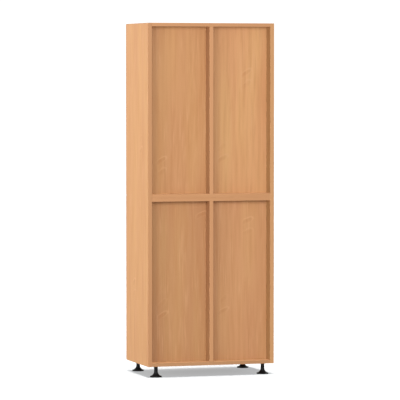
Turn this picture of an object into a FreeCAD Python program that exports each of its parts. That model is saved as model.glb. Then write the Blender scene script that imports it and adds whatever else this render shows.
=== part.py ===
import FreeCAD, Part
import math
import os
import re
import Sketcher

# Tall cupboard of beech-faced board with four doors and four levelling feet.
# Millimetres. +X is to the right of someone who faces the doors, the doors face -Y,
# +Z is up, and the origin lies on the floor below the middle of the whole cupboard.

SIZES = {
    # Box
    "cabinet_width": 800,
    "carcass_depth": 472,
    "box_height": 2076,
    "foot_height": 66,
    "side_thickness": 25,
    "board_thickness": 22,
    "band_radius": 1,
    "lower_room_height": 976,
    # Back panels, which stand in grooves well inside the rear edges
    "back_recess": 73,
    "back_thickness": 8,
    "groove_depth": 6,
    "groove_play": 0.3,
    # Loose shelves and the steel pins below them
    "shelf_thickness": 22,
    "shelf_setback": 45,
    "shelf_play": 1,
    "pin_radius": 2.5,
    "pin_depth": 9,
    "pin_reach": 8,
    "pin_play": 0.1,
    "pin_row_inset": 37,
    "pin_pitch": 32,
    # Doors
    "door_thickness": 18,
    "door_gap": 2,
    "door_reveal": 1,
    "door_parting": 3,
    "door_edge_radius": 1,
    "buffer_radius": 4,
    "buffer_thickness": 1.7,
    "buffer_inset": 7,
    "buffer_drop": 40,
    # Handles
    "handle_reach": 30,
    "handle_spacing": 128,
    "handle_radius": 5,
    "handle_bend": 14,
    "handle_inset": 36,
    "handle_drop": 150,
    "screw_radius": 2,
    "screw_grip": 9,
    "screw_play": 0.1,
    "screw_head_radius": 4,
    "screw_head_height": 2.4,
    # Cup hinges
    "hinge_drop": 100,
    "cup_radius": 17.5,
    "cup_depth": 13,
    "cup_wall": 1,
    "cup_edge_distance": 5,
    "cup_play": 0.1,
    "flange_thickness": 1.2,
    "flange_height": 62,
    "flange_width": 13,
    "flange_offset": 9.5,
    "flange_rim": 2,
    "cup_pin_inset": 10.5,
    "cup_pin_depth": 3,
    "hinge_pin_radius": 1.25,
    "hinge_pin_play": 0.15,
    "link_thickness": 2.4,
    "link_width": 10.5,
    "link_eye_radius": 2.6,
    "arm_pin_inset": 5.5,
    "arm_width": 14,
    "arm_wall": 1.5,
    "arm_height": 11,
    "arm_lift": 2.4,
    "arm_start": 4.5,
    "arm_length": 60,
    "arm_nose_radius": 3.3,
    "plate_line": 37,
    "plate_thickness": 2,
    "wing_height": 48,
    "wing_width": 16,
    "block_play": 0.3,
    "block_length": 38,
    # Levelling feet
    "foot_inset_side": 60,
    "foot_inset_depth": 40,
    "foot_stem_radius": 11.4,
    "foot_base_radius": 36,
    "foot_flare_height": 36,
    "foot_socket_floor": 12,
    "spindle_radius": 5,
    "spindle_grip": 18,
    "spindle_play": 0.08,
    "insert_radius": 7,
    "insert_length": 20,
    # Room that a cut runs past a face
    "overrun": 1,
}

doc = FreeCAD.newDocument("cupboard")
sheet = doc.addObject("Spreadsheet::Sheet", "sizes")
for row, (alias, number) in enumerate(SIZES.items(), start=1):
    sheet.set(f"A{row}", str(number))
    sheet.setAlias(f"A{row}", alias)
doc.recompute()

# Places that several pieces share, written with the sheet's names
HALF_WIDTH = "(cabinet_width / 2)"
REAR_Y = "((carcass_depth + door_gap + door_thickness + handle_reach) / 2)"
FRONT_Y = f"({REAR_Y} - carcass_depth)"
DOOR_BACK_Y = f"({FRONT_Y} - door_gap)"
DOOR_FRONT_Y = f"({DOOR_BACK_Y} - door_thickness)"
BACK_Y = f"({REAR_Y} - back_recess - back_thickness)"
BOX_TOP = "(foot_height + box_height)"
LOWER_FLOOR = "(foot_height + board_thickness)"
LOWER_CEILING = f"({LOWER_FLOOR} + lower_room_height)"
DOOR_SPLIT = f"({LOWER_CEILING} + board_thickness)"
UPPER_FLOOR = f"({DOOR_SPLIT} + board_thickness)"
UPPER_CEILING = f"({BOX_TOP} - board_thickness)"
ROOM_WIDTH = "((cabinet_width - 3 * side_thickness) / 2)"
GROOVE_Y = f"({BACK_Y} - groove_play)"
GROOVE_WIDTH = "(back_thickness + groove_play)"
SHELF_Y = f"({FRONT_Y} + shelf_setback)"
SHELF_DEPTH = f"({BACK_Y} - shelf_play - {SHELF_Y})"
DOOR_WIDTH = f"({HALF_WIDTH} - door_reveal - door_parting / 2)"

# Floor and ceiling of the rooms behind the lower and the upper pair of doors
ROOMS = {
    "lower": (LOWER_FLOOR, LOWER_CEILING),
    "upper": (UPPER_FLOOR, UPPER_CEILING),
}
# Lower and upper edge of each pair of doors
DOOR_SPANS = {
    "lower": ("(foot_height + door_reveal)", f"({DOOR_SPLIT} - door_parting / 2)"),
    "upper": (f"({DOOR_SPLIT} + door_parting / 2)", f"({BOX_TOP} - door_reveal)"),
}
PIN_ROWS = {
    "front": f"({SHELF_Y} + pin_row_inset)",
    "rear": f"({SHELF_Y} + {SHELF_DEPTH} - pin_row_inset)",
}
# Sign of X on each hand
HANDS = {"left": -1, "right": 1}
SHELVES_PER_ROOM = 2
# Free pin holes above and below each pin
SPARE_HOLES = 2
# Outline of a foot from the floor up: share of the flare's height, and share of the way
# from the stem's radius to the base's
foot_outline_shares = [
    (0, 0.96),
    (0.028, 1),
    (0.153, 0.99),
    (0.25, 0.633),
    (0.389, 0.369),
    (0.556, 0.179),
    (0.75, 0.054),
    (1, 0),
]

QUARTER_TURN = 90
HALF_TURN = 180
X_AXIS = FreeCAD.Vector(1, 0, 0)
Y_AXIS = FreeCAD.Vector(0, 1, 0)
Z_AXIS = FreeCAD.Vector(0, 0, 1)
TURNS = {
    "+x": FreeCAD.Rotation(Y_AXIS, QUARTER_TURN),
    "-x": FreeCAD.Rotation(Y_AXIS, -QUARTER_TURN),
    "+y": FreeCAD.Rotation(X_AXIS, -QUARTER_TURN),
    "-y": FreeCAD.Rotation(X_AXIS, QUARTER_TURN),
    "+z": FreeCAD.Rotation(),
}

subparts = []


def formula(text):
    """A formula of bare size names in the form that the document reads."""
    def full_name(match):
        word = match.group()
        return f"sizes.{word}" if word in SIZES else word
    return re.sub(r"[a-z_]+", full_name, str(text))


def amount(text):
    """The present value of a formula."""
    return float(sheet.evalExpression(formula(text)))


def bind(thing, **properties):
    """Tie a thing's properties to formulas."""
    for name, text in properties.items():
        thing.setExpression(name, formula(text))
    return thing


def place(thing, x, y, z, rotation=FreeCAD.Rotation()):
    """Put a thing at a point given by three formulas."""
    thing.Placement = FreeCAD.Placement(FreeCAD.Vector(), rotation)
    for axis, text in zip("xyz", (x, y, z)):
        thing.setExpression(f"Placement.Base.{axis}", formula(text))
    return thing


def board(name, size, corner):
    """A board or block from its three sizes and its lowest corner."""
    piece = bind(doc.addObject("Part::Box", name), Length=size[0], Width=size[1], Height=size[2])
    return place(piece, *corner)


def edges_along(shape, axes):
    """The names of a block's edges that run along some axes."""
    names = []
    for count, edge in enumerate(shape.Edges, start=1):
        run = edge.Vertexes[-1].Point - edge.Vertexes[0].Point
        if any(abs(getattr(run, axis)) > run.Length / 2 for axis in axes):
            names.append(f"Edge{count}")
    return names


def banded_board(name, size, corner, axes):
    """A board whose edges along some axes have the small radius of an edge band."""
    body = doc.addObject("PartDesign::Body", name)
    block = body.newObject("PartDesign::AdditiveBox", f"{name}_block")
    bind(block, Length=size[0], Width=size[1], Height=size[2])
    doc.recompute()
    rounding = body.newObject("PartDesign::Fillet", f"{name}_rounding")
    rounding.Base = (block, edges_along(block.Shape, axes))
    bind(rounding, Radius="band_radius")
    return place(body, *corner)


def rod(name, radius, length, start, direction="+z"):
    """A round bar from the middle of its first end."""
    piece = bind(doc.addObject("Part::Cylinder", name), Radius=radius, Height=length)
    return place(piece, *start, TURNS[direction])


def group(name, pieces):
    """Separate solids kept together."""
    bundle = doc.addObject("Part::Compound", name)
    bundle.Links = pieces
    return bundle


def fuse(name, pieces):
    """Pieces joined into one solid."""
    whole = doc.addObject("Part::MultiFuse", name)
    whole.Shapes = pieces
    return whole


def cut(name, base, tools):
    """A base with the tools taken away from it."""
    result = doc.addObject("Part::Cut", name)
    result.Base = base
    result.Tool = group(f"{name}_tools", tools)
    return result


def copy_of(name, pattern, spot):
    """A copy of a pattern piece that follows the pattern's sizes."""
    link = doc.addObject("App::Link", name)
    link.LinkedObject = pattern
    return place(link, *spot)


def shaped(name, shape):
    """A piece whose shape is worked out from the sheet here."""
    piece = doc.addObject("Part::Feature", name)
    piece.Shape = shape
    return piece


def subpart(label, piece):
    """Keep a piece as a sub-part under the name of its file."""
    piece.Label = label
    subparts.append(piece)


def lowest_x(hand, inset, width):
    """The lower X of a thing of this width that lies this far in from the outer face of its hand."""
    if hand == "left":
        return f"(-{HALF_WIDTH} + {inset})"
    return f"({HALF_WIDTH} - ({inset}) - ({width}))"


# Shelf heights and pins

def shelf_bottom(room, number):
    """The height of a shelf's underside, with the shelves evenly spaced in their room."""
    floor, ceiling = ROOMS[room]
    bay = f"(({ceiling} - {floor} - {SHELVES_PER_ROOM} * shelf_thickness) / {SHELVES_PER_ROOM + 1})"
    return f"({floor} + {bay} * {number + 1} + shelf_thickness * {number})"


def wall_face(hand, wall):
    """X of the face that one wall turns to the room of this hand, and the way into the wall."""
    sign = HANDS[hand]
    if wall == "side":
        return f"({sign} * ({HALF_WIDTH} - side_thickness))", sign
    return f"({sign} * side_thickness / 2)", -sign


def pin_spots(room, hand, wall):
    """The name and the mouth of each pin hole in one wall of one room, and the way into the wall."""
    face, inward = wall_face(hand, wall)
    for number in range(SHELVES_PER_ROOM):
        height = f"({shelf_bottom(room, number)} - pin_radius)"
        for row_name, y in PIN_ROWS.items():
            yield f"{room}_{hand}_{wall}_{number + 1}_{row_name}", (face, y, height), inward


def pin_holes(room, hand, wall):
    """Cutters for the pin holes of one wall: a short row about each pin."""
    holes = []
    for name, (x, y, z), inward in pin_spots(room, hand, wall):
        length = "pin_depth + pin_play + overrun"
        direction = "+x" if inward > 0 else "-x"
        for step in range(-SPARE_HOLES, SPARE_HOLES + 1):
            mouth = (f"{x} - {inward} * overrun", y, f"{z} + {step} * pin_pitch")
            hole_name = f"{name}_hole_{step + SPARE_HOLES + 1}"
            holes.append(rod(hole_name, "pin_radius + pin_play", length, mouth, direction))
    return holes


def make_shelf_pins(room):
    """The steel pins that carry one room's shelves."""
    pins = []
    for hand in HANDS:
        for wall in ("side", "divider"):
            for name, (x, y, z), inward in pin_spots(room, hand, wall):
                root = (f"{x} + {inward} * pin_depth", y, z)
                direction = "-x" if inward > 0 else "+x"
                pins.append(rod(f"{name}_pin", "pin_radius", "pin_depth + pin_reach", root, direction))
    subpart(f"{room}_shelf_pins", group(f"{room}_pin_group", pins))


def make_shelves(room, hand):
    """The loose shelves of one room."""
    for number in range(SHELVES_PER_ROOM):
        name = f"{room}_{hand}_shelf_{number + 1}"
        size = (f"({ROOM_WIDTH} - 2 * shelf_play)", SHELF_DEPTH, "shelf_thickness")
        shelf_x = lowest_x(hand, "side_thickness + shelf_play", size[0])
        corner = (shelf_x, SHELF_Y, shelf_bottom(room, number))
        subpart(name, banded_board(f"{name}_board", size, corner, "x"))


# Box

def make_side(hand):
    """One full-height side with its grooves and pin holes."""
    size = ("side_thickness", "carcass_depth", "box_height")
    corner = (lowest_x(hand, "0", "side_thickness"), FRONT_Y, "foot_height")
    blank = banded_board(f"{hand}_side_board", size, corner, "yz")
    tools = []
    for room, (floor, ceiling) in ROOMS.items():
        groove_size = ("(groove_depth + overrun)", GROOVE_WIDTH, f"{ceiling} - {floor} + 2 * groove_depth")
        groove_x = lowest_x(hand, "side_thickness - groove_depth", groove_size[0])
        groove_corner = (groove_x, GROOVE_Y, f"{floor} - groove_depth")
        tools.append(board(f"{hand}_side_{room}_groove", groove_size, groove_corner))
        tools += pin_holes(room, hand, "side")
    subpart(f"{hand}_side", cut(f"{hand}_side_cut", blank, tools))


def make_fixed_board(label, z, groove_above, more_tools=()):
    """A board between the sides, grooved from end to end above or below for the back panels."""
    length = "(cabinet_width - 2 * side_thickness)"
    end_x = f"(-{HALF_WIDTH} + side_thickness)"
    size = (length, "carcass_depth", "board_thickness")
    blank = banded_board(f"{label}_board", size, (end_x, FRONT_Y, z), "x")
    groove_z = f"{z} + board_thickness - groove_depth" if groove_above else f"{z} - overrun"
    groove_size = (length, GROOVE_WIDTH, "groove_depth + overrun")
    groove = board(f"{label}_groove", groove_size, (end_x, GROOVE_Y, groove_z))
    subpart(label, cut(f"{label}_cut", blank, [groove, *more_tools]))


def make_divider(room):
    """The upright board between the left-hand and right-hand rooms."""
    floor, ceiling = ROOMS[room]
    size = ("side_thickness", "carcass_depth", f"{ceiling} - {floor}")
    corner = ("-side_thickness / 2", FRONT_Y, floor)
    blank = banded_board(f"{room}_divider_board", size, corner, "z")
    tools = []
    for hand in HANDS:
        groove_size = ("(groove_depth + overrun)", GROOVE_WIDTH, f"{ceiling} - {floor}")
        groove_inset = f"{HALF_WIDTH} - side_thickness / 2 - overrun"
        groove_corner = (lowest_x(hand, groove_inset, groove_size[0]), GROOVE_Y, floor)
        tools.append(board(f"{room}_divider_{hand}_groove", groove_size, groove_corner))
        tools += pin_holes(room, hand, "divider")
    subpart(f"{room}_divider", cut(f"{room}_divider_cut", blank, tools))


def make_back(room, hand):
    """A back panel, let into grooves on all four edges."""
    floor, ceiling = ROOMS[room]
    tongue = "(groove_depth - groove_play)"
    size = (f"({ROOM_WIDTH} + 2 * {tongue})", "back_thickness", f"{ceiling} - {floor} + 2 * {tongue}")
    corner = (lowest_x(hand, f"side_thickness - {tongue}", size[0]), BACK_Y, f"{floor} - {tongue}")
    subpart(f"{room}_{hand}_back", board(f"{room}_{hand}_back_board", size, corner))


def make_buffers():
    """Soft discs on the dividers' front edges, two for each door."""
    buffers = []
    for room, (low, high) in DOOR_SPANS.items():
        for hand, sign in HANDS.items():
            for end, z in (("low", f"{low} + buffer_drop"), ("high", f"{high} - buffer_drop")):
                start = (f"{sign} * buffer_inset", FRONT_Y, z)
                name = f"{room}_{hand}_{end}_buffer"
                buffers.append(rod(name, "buffer_radius", "buffer_thickness", start, "-y"))
    subpart("door_buffers", group("buffer_group", buffers))


# Cup hinges. The patterns stand as on the left-hand side: X runs inwards from the
# cupboard's outer face, Y from the front edge of its side, Z from the hinge's middle.

CUP_X = "(door_reveal + cup_edge_distance + cup_radius)"
CUP_PIN = ("(door_reveal + cup_pin_inset)", "(-door_gap - cup_pin_depth)")
ARM_PIN = ("(side_thickness + arm_pin_inset)", "0")
ARM_X = "(side_thickness + arm_lift)"
ARM_CAVITY = "(arm_width - 2 * arm_wall)"
ARM_WEB_X = f"({ARM_X} + arm_height - arm_wall)"


def stadium(name, thickness, width, height, middle, normal):
    """A flat plate with round ends, upright along Z, from the middle of its first face."""
    x, y, z = middle
    straight = f"({height} - {width})"
    low_z = f"{z} - {straight} / 2"
    if normal == "+x":
        block_size = (thickness, width, straight)
        block_corner = (x, f"{y} - {width} / 2", low_z)
    else:
        block_size = (width, thickness, straight)
        block_corner = (f"{x} - {width} / 2", y, low_z)
    pieces = [board(f"{name}_block", block_size, block_corner)]
    for end, end_z in (("low", low_z), ("high", f"{z} + {straight} / 2")):
        pieces.append(rod(f"{name}_{end}", f"{width} / 2", thickness, (x, y, end_z), normal))
    return fuse(name, pieces)


def cup_bore_pattern():
    """The hole that takes a cup in the back of a door."""
    start = (CUP_X, "-door_gap + overrun", "0")
    length = "cup_depth + cup_play + overrun"
    return group("cup_bore_pattern", [rod("cup_bore", "cup_radius + cup_play", length, start, "-y")])


def cup_pattern():
    """A pressed cup with its rim, screw flange and link pin."""
    face = "-door_gap + flange_thickness"
    shell = rod("cup_shell", "cup_radius", "cup_depth + flange_thickness", (CUP_X, face, "0"), "-y")
    rim = rod("cup_rim", "cup_radius + flange_rim", "flange_thickness", (CUP_X, face, "0"), "-y")
    middle = (f"{CUP_X} + flange_offset", "-door_gap", "0")
    flange = stadium("cup_flange", "flange_thickness", "flange_width", "flange_height", middle, "+y")
    hollow_start = (CUP_X, f"{face} + overrun", "0")
    hollow_length = "flange_thickness + overrun + cup_depth - cup_wall"
    hollow = rod("cup_hollow", "cup_radius - cup_wall", hollow_length, hollow_start, "-y")
    pressing = cut("cup_pressing", fuse("cup_solid", [shell, rim, flange]), [hollow])
    # The pin's ends stop inside the cup's wall
    far_side = f"({CUP_X} - {CUP_PIN[0]} + hinge_pin_radius)"
    half_pin = f"sqrt((cup_radius - cup_wall / 4)^2 - {far_side}^2)"
    pin_start = (*CUP_PIN, f"-{half_pin}")
    pin = rod("cup_pin", "hinge_pin_radius", f"2 * {half_pin}", pin_start)
    return fuse("cup_pattern", [pressing, pin])


def link_pattern():
    """The crank link: half a ring between two eyes, bulging into the closed cup."""
    arm_pin = FreeCAD.Vector(*(amount(text) for text in ARM_PIN), 0)
    cup_pin = FreeCAD.Vector(*(amount(text) for text in CUP_PIN), 0)
    width = amount("link_width")
    thickness = amount("link_thickness")
    reach = (cup_pin - arm_pin).Length
    middle = (arm_pin + cup_pin) / 2
    drop = FreeCAD.Vector(0, 0, width / 2)
    ring = Part.makeCylinder((reach + thickness) / 2, width, middle - drop)
    ring = ring.cut(Part.makeCylinder((reach - thickness) / 2, width, middle - drop))
    # The half of the ring on the door's side of the line through both pins
    slant = math.degrees(math.atan2(arm_pin.y - cup_pin.y, arm_pin.x - cup_pin.x))
    keep = Part.makeBox(2 * reach, reach, width, FreeCAD.Vector(-reach, -reach, -width / 2))
    keep.rotate(FreeCAD.Vector(), Z_AXIS, slant)
    keep.translate(middle)
    link = ring.common(keep)
    for pin in (arm_pin, cup_pin):
        link = link.fuse(Part.makeCylinder(amount("link_eye_radius"), width, pin - drop))
    for pin in (arm_pin, cup_pin):
        bore = Part.makeCylinder(amount("hinge_pin_radius + hinge_pin_play"), width, pin - drop)
        link = link.cut(bore)
    return shaped("link_pattern", link.removeSplitter())


def arm_pattern():
    """The hinge arm: a channel over the mounting plate, with two cheeks that hold the link's pin."""
    low_z = "-arm_width / 2"
    channel_size = ("arm_height", "arm_length", "arm_width")
    channel = board("arm_channel", channel_size, (ARM_X, "arm_start", low_z))
    cheek_size = ("2 * arm_nose_radius", "arm_start + arm_wall", "arm_width")
    cheeks = board("arm_cheeks", cheek_size, (f"{ARM_PIN[0]} - arm_nose_radius", "0", low_z))
    nose = rod("arm_nose", "arm_nose_radius", "arm_width", (*ARM_PIN, low_z))
    cavity_size = (
        f"{ARM_WEB_X} - side_thickness",
        "arm_nose_radius + arm_start + arm_length + 2 * overrun",
        ARM_CAVITY,
    )
    cavity_corner = ("side_thickness", "-arm_nose_radius - overrun", f"-{ARM_CAVITY} / 2")
    cavity = board("arm_cavity", cavity_size, cavity_corner)
    pressing = cut("arm_pressing", fuse("arm_solid", [channel, cheeks, nose]), [cavity])
    pin = rod("arm_pin", "hinge_pin_radius", "arm_width", (*ARM_PIN, low_z))
    return fuse("arm_pattern", [pressing, pin])


def plate_pattern():
    """The mounting plate: wings screwed to the side and a block that fills the arm's channel."""
    middle = ("side_thickness", "plate_line", "0")
    wings = stadium("plate_wings", "plate_thickness", "wing_width", "wing_height", middle, "+x")
    height = f"({ARM_WEB_X} - block_play - side_thickness)"
    width = f"({ARM_CAVITY} - 2 * block_play)"
    corner = ("side_thickness", "plate_line - block_length / 2", f"-{width} / 2")
    block = board("plate_block", (height, "block_length", width), corner)
    return fuse("plate_pattern", [wings, block])


def hinge_spots(room):
    """The heights of a door's three hinges: near both ends and in the middle."""
    low, high = DOOR_SPANS[room]
    return {
        "low": f"({low} + hinge_drop)",
        "middle": f"(({low} + {high}) / 2)",
        "high": f"({high} - hinge_drop)",
    }


def hinge_copies(pattern, room, hand):
    """A hinge piece's three copies along one door, turned over for the right hand."""
    copies = []
    for spot, z in hinge_spots(room).items():
        copy = copy_of(f"{room}_{hand}_{spot}_{pattern.Name}", pattern, ("0", "0", "0"))
        turn = FreeCAD.Rotation() if hand == "left" else FreeCAD.Rotation(Y_AXIS, HALF_TURN)
        copies.append(place(copy, f"{HANDS[hand]} * {HALF_WIDTH}", FRONT_Y, z, turn))
    return copies


# Doors

def front_edges(shape, limit):
    """The names of a shape's edges that lie wholly in front of a limit."""
    return [f"Edge{count}" for count, edge in enumerate(shape.Edges, start=1) if edge.BoundBox.YMax < limit]


def add_rectangle(sketch, width, height):
    """A rectangle about the sketch's middle, held by two formulas."""
    corners = [(-1, -1), (1, -1), (1, 1), (-1, 1)]
    for start, end in zip(corners, corners[1:] + corners[:1]):
        sketch.addGeometry(Part.LineSegment(FreeCAD.Vector(*start, 0), FreeCAD.Vector(*end, 0)))
    for edge in range(len(corners)):
        sketch.addConstraint(Sketcher.Constraint("Coincident", edge, 2, (edge + 1) % len(corners), 1))
        sketch.addConstraint(Sketcher.Constraint("Vertical" if edge % 2 else "Horizontal", edge))
    sketch.addConstraint(Sketcher.Constraint("Symmetric", 0, 1, 1, 2, -1, 1))
    across = sketch.addConstraint(Sketcher.Constraint("DistanceX", 0, 1, 0, 2, 2))
    upright = sketch.addConstraint(Sketcher.Constraint("DistanceY", 1, 1, 1, 2, 2))
    sketch.setExpression(f"Constraints[{across}]", formula(width))
    sketch.setExpression(f"Constraints[{upright}]", formula(height))


def handle_heights(room):
    """The heights of a handle's two legs."""
    low, high = DOOR_SPANS[room]
    middle = f"({high} - handle_drop)" if room == "lower" else f"({low} + handle_drop)"
    return f"({middle} - handle_spacing / 2)", f"({middle} + handle_spacing / 2)"


def handle_x(hand):
    return f"({HANDS[hand]} * (door_parting / 2 + handle_inset))"


def make_door(room, hand, cup_bore):
    """A door slab with rounded front edges, cup holes and handle screw holes."""
    low, high = DOOR_SPANS[room]
    name = f"{room}_{hand}_door"
    body = doc.addObject("PartDesign::Body", f"{name}_body")
    plane = next(feature for feature in body.Origin.OriginFeatures if feature.Role == "XZ_Plane")
    outline = body.newObject("Sketcher::SketchObject", f"{name}_outline")
    outline.AttachmentSupport = [(plane, "")]
    outline.MapMode = "FlatFace"
    add_rectangle(outline, DOOR_WIDTH, f"{high} - {low}")
    slab = body.newObject("PartDesign::Pad", f"{name}_slab")
    slab.Profile = outline
    bind(slab, Length="door_thickness")
    doc.recompute()
    front = slab.Shape.BoundBox.YMin
    rounding = body.newObject("PartDesign::Fillet", f"{name}_rounding")
    rounding.Base = (slab, front_edges(slab.Shape, front + amount("door_edge_radius")))
    bind(rounding, Radius="door_edge_radius")
    middle_x = f"{HANDS[hand]} * (door_parting / 2 + {DOOR_WIDTH} / 2)"
    place(body, middle_x, DOOR_BACK_Y, f"({low} + {high}) / 2")
    tools = hinge_copies(cup_bore, room, hand)
    for end, z in zip(("low", "high"), handle_heights(room)):
        start = (handle_x(hand), f"{DOOR_BACK_Y} + overrun", z)
        length = "door_thickness + 2 * overrun"
        tools.append(rod(f"{name}_{end}_screw_hole", "screw_radius + screw_play", length, start, "-y"))
    subpart(name, cut(f"{name}_cut", body, tools))


def make_handle(room, hand):
    """A handle bent from round bar, with a screw hole in the end of each leg."""
    name = f"{room}_{hand}_handle"
    bar = amount("handle_radius")
    bend = amount("handle_bend")
    foot_y = amount(DOOR_FRONT_Y)
    grip_y = foot_y - amount("handle_reach") + bar
    low, high = (amount(height) for height in handle_heights(room))
    x = amount(handle_x(hand))

    def point(y, z):
        return FreeCAD.Vector(x, y, z)

    # How far the middle of a bend lies from both of the straight lines that it joins
    short = bend * (1 - math.sqrt(1 / 2))
    low_bend = [
        point(grip_y + bend, low),
        point(grip_y + short, low + short),
        point(grip_y, low + bend),
    ]
    high_bend = [
        point(grip_y, high - bend),
        point(grip_y + short, high - short),
        point(grip_y + bend, high),
    ]
    path = Part.Wire([
        Part.makeLine(point(foot_y, low), low_bend[0]),
        Part.Arc(*low_bend).toShape(),
        Part.makeLine(low_bend[2], high_bend[0]),
        Part.Arc(*high_bend).toShape(),
        Part.makeLine(high_bend[2], point(foot_y, high)),
    ])
    section = Part.Wire([Part.makeCircle(bar, point(foot_y, low), Y_AXIS)])
    grip = path.makePipeShell([section], True, False)
    hole_radius = amount("screw_radius + screw_play")
    hole_depth = amount("screw_grip + screw_play")
    for z in (low, high):
        grip = grip.cut(Part.makeCylinder(hole_radius, hole_depth, point(foot_y, z), -Y_AXIS))
    subpart(name, shaped(f"{name}_bar", grip))


def make_handle_screws(room, hand):
    """The two screws that hold a handle through its door."""
    screws = []
    for end, z in zip(("low", "high"), handle_heights(room)):
        name = f"{room}_{hand}_{end}_screw"
        start = (handle_x(hand), DOOR_BACK_Y, z)
        shank = rod(f"{name}_shank", "screw_radius", "door_thickness + screw_grip", start, "-y")
        head = rod(f"{name}_head", "screw_head_radius", "screw_head_height", start, "+y")
        screws.append(fuse(name, [shank, head]))
    subpart(f"{room}_{hand}_handle_screws", group(f"{room}_{hand}_screw_group", screws))


# Levelling feet

def foot_spots():
    """The name and the X and Y of each foot."""
    for hand, sign in HANDS.items():
        x = f"{sign} * ({HALF_WIDTH} - foot_inset_side)"
        yield f"front_{hand}", x, f"{FRONT_Y} + foot_inset_depth"
        yield f"rear_{hand}", x, f"{REAR_Y} - foot_inset_depth"


def foot_level(level):
    """The height and the radius at one level of the foot's outline."""
    height_share, radius_share = foot_outline_shares[level]
    height = f"(foot_flare_height * {height_share})"
    return height, f"(foot_stem_radius + (foot_base_radius - foot_stem_radius) * {radius_share})"


def foot_pattern():
    """A trumpet-shaped foot, turned from a stack of tapers, with a socket for its spindle."""
    pieces = [rod("foot_stem", "foot_stem_radius", "foot_height", ("0", "0", "0"))]
    for level in range(len(foot_outline_shares) - 1):
        low_z, low_radius = foot_level(level)
        high_z, high_radius = foot_level(level + 1)
        taper = doc.addObject("Part::Cone", f"foot_taper_{level + 1}")
        bind(taper, Radius1=low_radius, Radius2=high_radius, Height=f"{high_z} - {low_z}")
        pieces.append(place(taper, "0", "0", low_z))
    socket_length = "foot_height - foot_socket_floor + overrun"
    socket = rod("foot_socket", "spindle_radius", socket_length, ("0", "0", "foot_socket_floor"))
    return cut("foot_pattern", fuse("foot_solid", pieces), [socket])


def spindle_pattern():
    """A foot's steel spindle."""
    length = "foot_height - foot_socket_floor + spindle_grip"
    bar = rod("spindle_bar", "spindle_radius", length, ("0", "0", "foot_socket_floor"))
    return group("spindle_pattern", [bar])


def insert_pattern():
    """The sleeve in the bottom board that a spindle turns in."""
    mouth = ("0", "0", "foot_height")
    sleeve = rod("insert_sleeve", "insert_radius", "insert_length", mouth)
    bore = rod("insert_bore", "spindle_radius + spindle_play", "insert_length", mouth)
    return cut("insert_pattern", sleeve, [bore])


def insert_hole(name, x, y):
    return rod(f"{name}_insert_hole", "insert_radius", "insert_length", (x, y, "foot_height"))


# The whole cupboard

for hand in HANDS:
    make_side(hand)
insert_holes = [insert_hole(*spot) for spot in foot_spots()]
make_fixed_board("bottom_panel", "foot_height", True, insert_holes)
make_fixed_board("lower_middle_panel", LOWER_CEILING, False)
make_fixed_board("upper_middle_panel", DOOR_SPLIT, True)
make_fixed_board("top_panel", UPPER_CEILING, False)
for room in ROOMS:
    make_divider(room)
    for hand in HANDS:
        make_back(room, hand)
        make_shelves(room, hand)
    make_shelf_pins(room)
make_buffers()

cup_bore = cup_bore_pattern()
cup = cup_pattern()
link = link_pattern()
arm = arm_pattern()
plate = plate_pattern()
arms = []
plates = []
for room in ROOMS:
    for hand in HANDS:
        make_door(room, hand, cup_bore)
        make_handle(room, hand)
        make_handle_screws(room, hand)
        cups = hinge_copies(cup, room, hand)
        links = hinge_copies(link, room, hand)
        subpart(f"{room}_{hand}_hinge_cups", group(f"{room}_{hand}_cup_group", cups))
        subpart(f"{room}_{hand}_hinge_links", group(f"{room}_{hand}_link_group", links))
        arms += hinge_copies(arm, room, hand)
        plates += hinge_copies(plate, room, hand)
subpart("hinge_arms", group("arm_group", arms))
subpart("hinge_plates", group("plate_group", plates))

foot = foot_pattern()
spindle = spindle_pattern()
insert = insert_pattern()
inserts = []
for name, x, y in foot_spots():
    spot = (x, y, "0")
    for kind, pattern in (("foot", foot), ("spindle", spindle)):
        copy = copy_of(f"{name}_{kind}_copy", pattern, spot)
        subpart(f"{name}_{kind}", group(f"{name}_{kind}_group", [copy]))
    inserts.append(copy_of(f"{name}_insert", insert, spot))
subpart("foot_inserts", group("insert_group", inserts))

doc.recompute()
faults = [thing.Name for thing in doc.Objects if {"Invalid", "Error"} & set(thing.State)]
faults += [piece.Label for piece in subparts if piece.Shape.isNull() or not piece.Shape.isValid()]
if faults:
    raise RuntimeError("Not built: " + ", ".join(faults))

os.makedirs("parts", exist_ok=True)
for piece in subparts:
    piece.Shape.exportStep(f"parts/{piece.Label}.step")
print(f"{len(subparts)} sub-parts written")
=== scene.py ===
import math
import random

import bmesh
import bpy
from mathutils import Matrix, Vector


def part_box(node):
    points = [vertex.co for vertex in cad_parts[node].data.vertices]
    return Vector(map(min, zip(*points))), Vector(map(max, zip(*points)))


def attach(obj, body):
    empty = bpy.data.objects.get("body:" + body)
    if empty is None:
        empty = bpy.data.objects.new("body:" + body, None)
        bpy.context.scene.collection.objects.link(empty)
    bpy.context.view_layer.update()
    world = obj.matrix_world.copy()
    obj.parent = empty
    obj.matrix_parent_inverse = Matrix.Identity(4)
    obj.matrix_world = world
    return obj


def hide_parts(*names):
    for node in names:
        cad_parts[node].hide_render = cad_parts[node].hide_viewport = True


# Tall beech-decor cupboard, seen from behind: four back panels set deep inside the rear
# edges of the boards, one outer side and black levelling feet. Metres, in the part's frame.

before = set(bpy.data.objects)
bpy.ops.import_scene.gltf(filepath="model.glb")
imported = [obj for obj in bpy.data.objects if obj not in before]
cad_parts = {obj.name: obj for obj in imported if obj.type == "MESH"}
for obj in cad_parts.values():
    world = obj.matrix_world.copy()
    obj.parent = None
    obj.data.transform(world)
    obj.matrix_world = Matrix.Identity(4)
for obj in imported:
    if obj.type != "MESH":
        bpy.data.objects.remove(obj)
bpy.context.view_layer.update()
MM = 0.001


# Tools

# Sockets of a colour mix: its share, the two colours under and over it, and the mixed colour
SHARE, UNDER, OVER, MIXED = 0, 6, 7, 2


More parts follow.
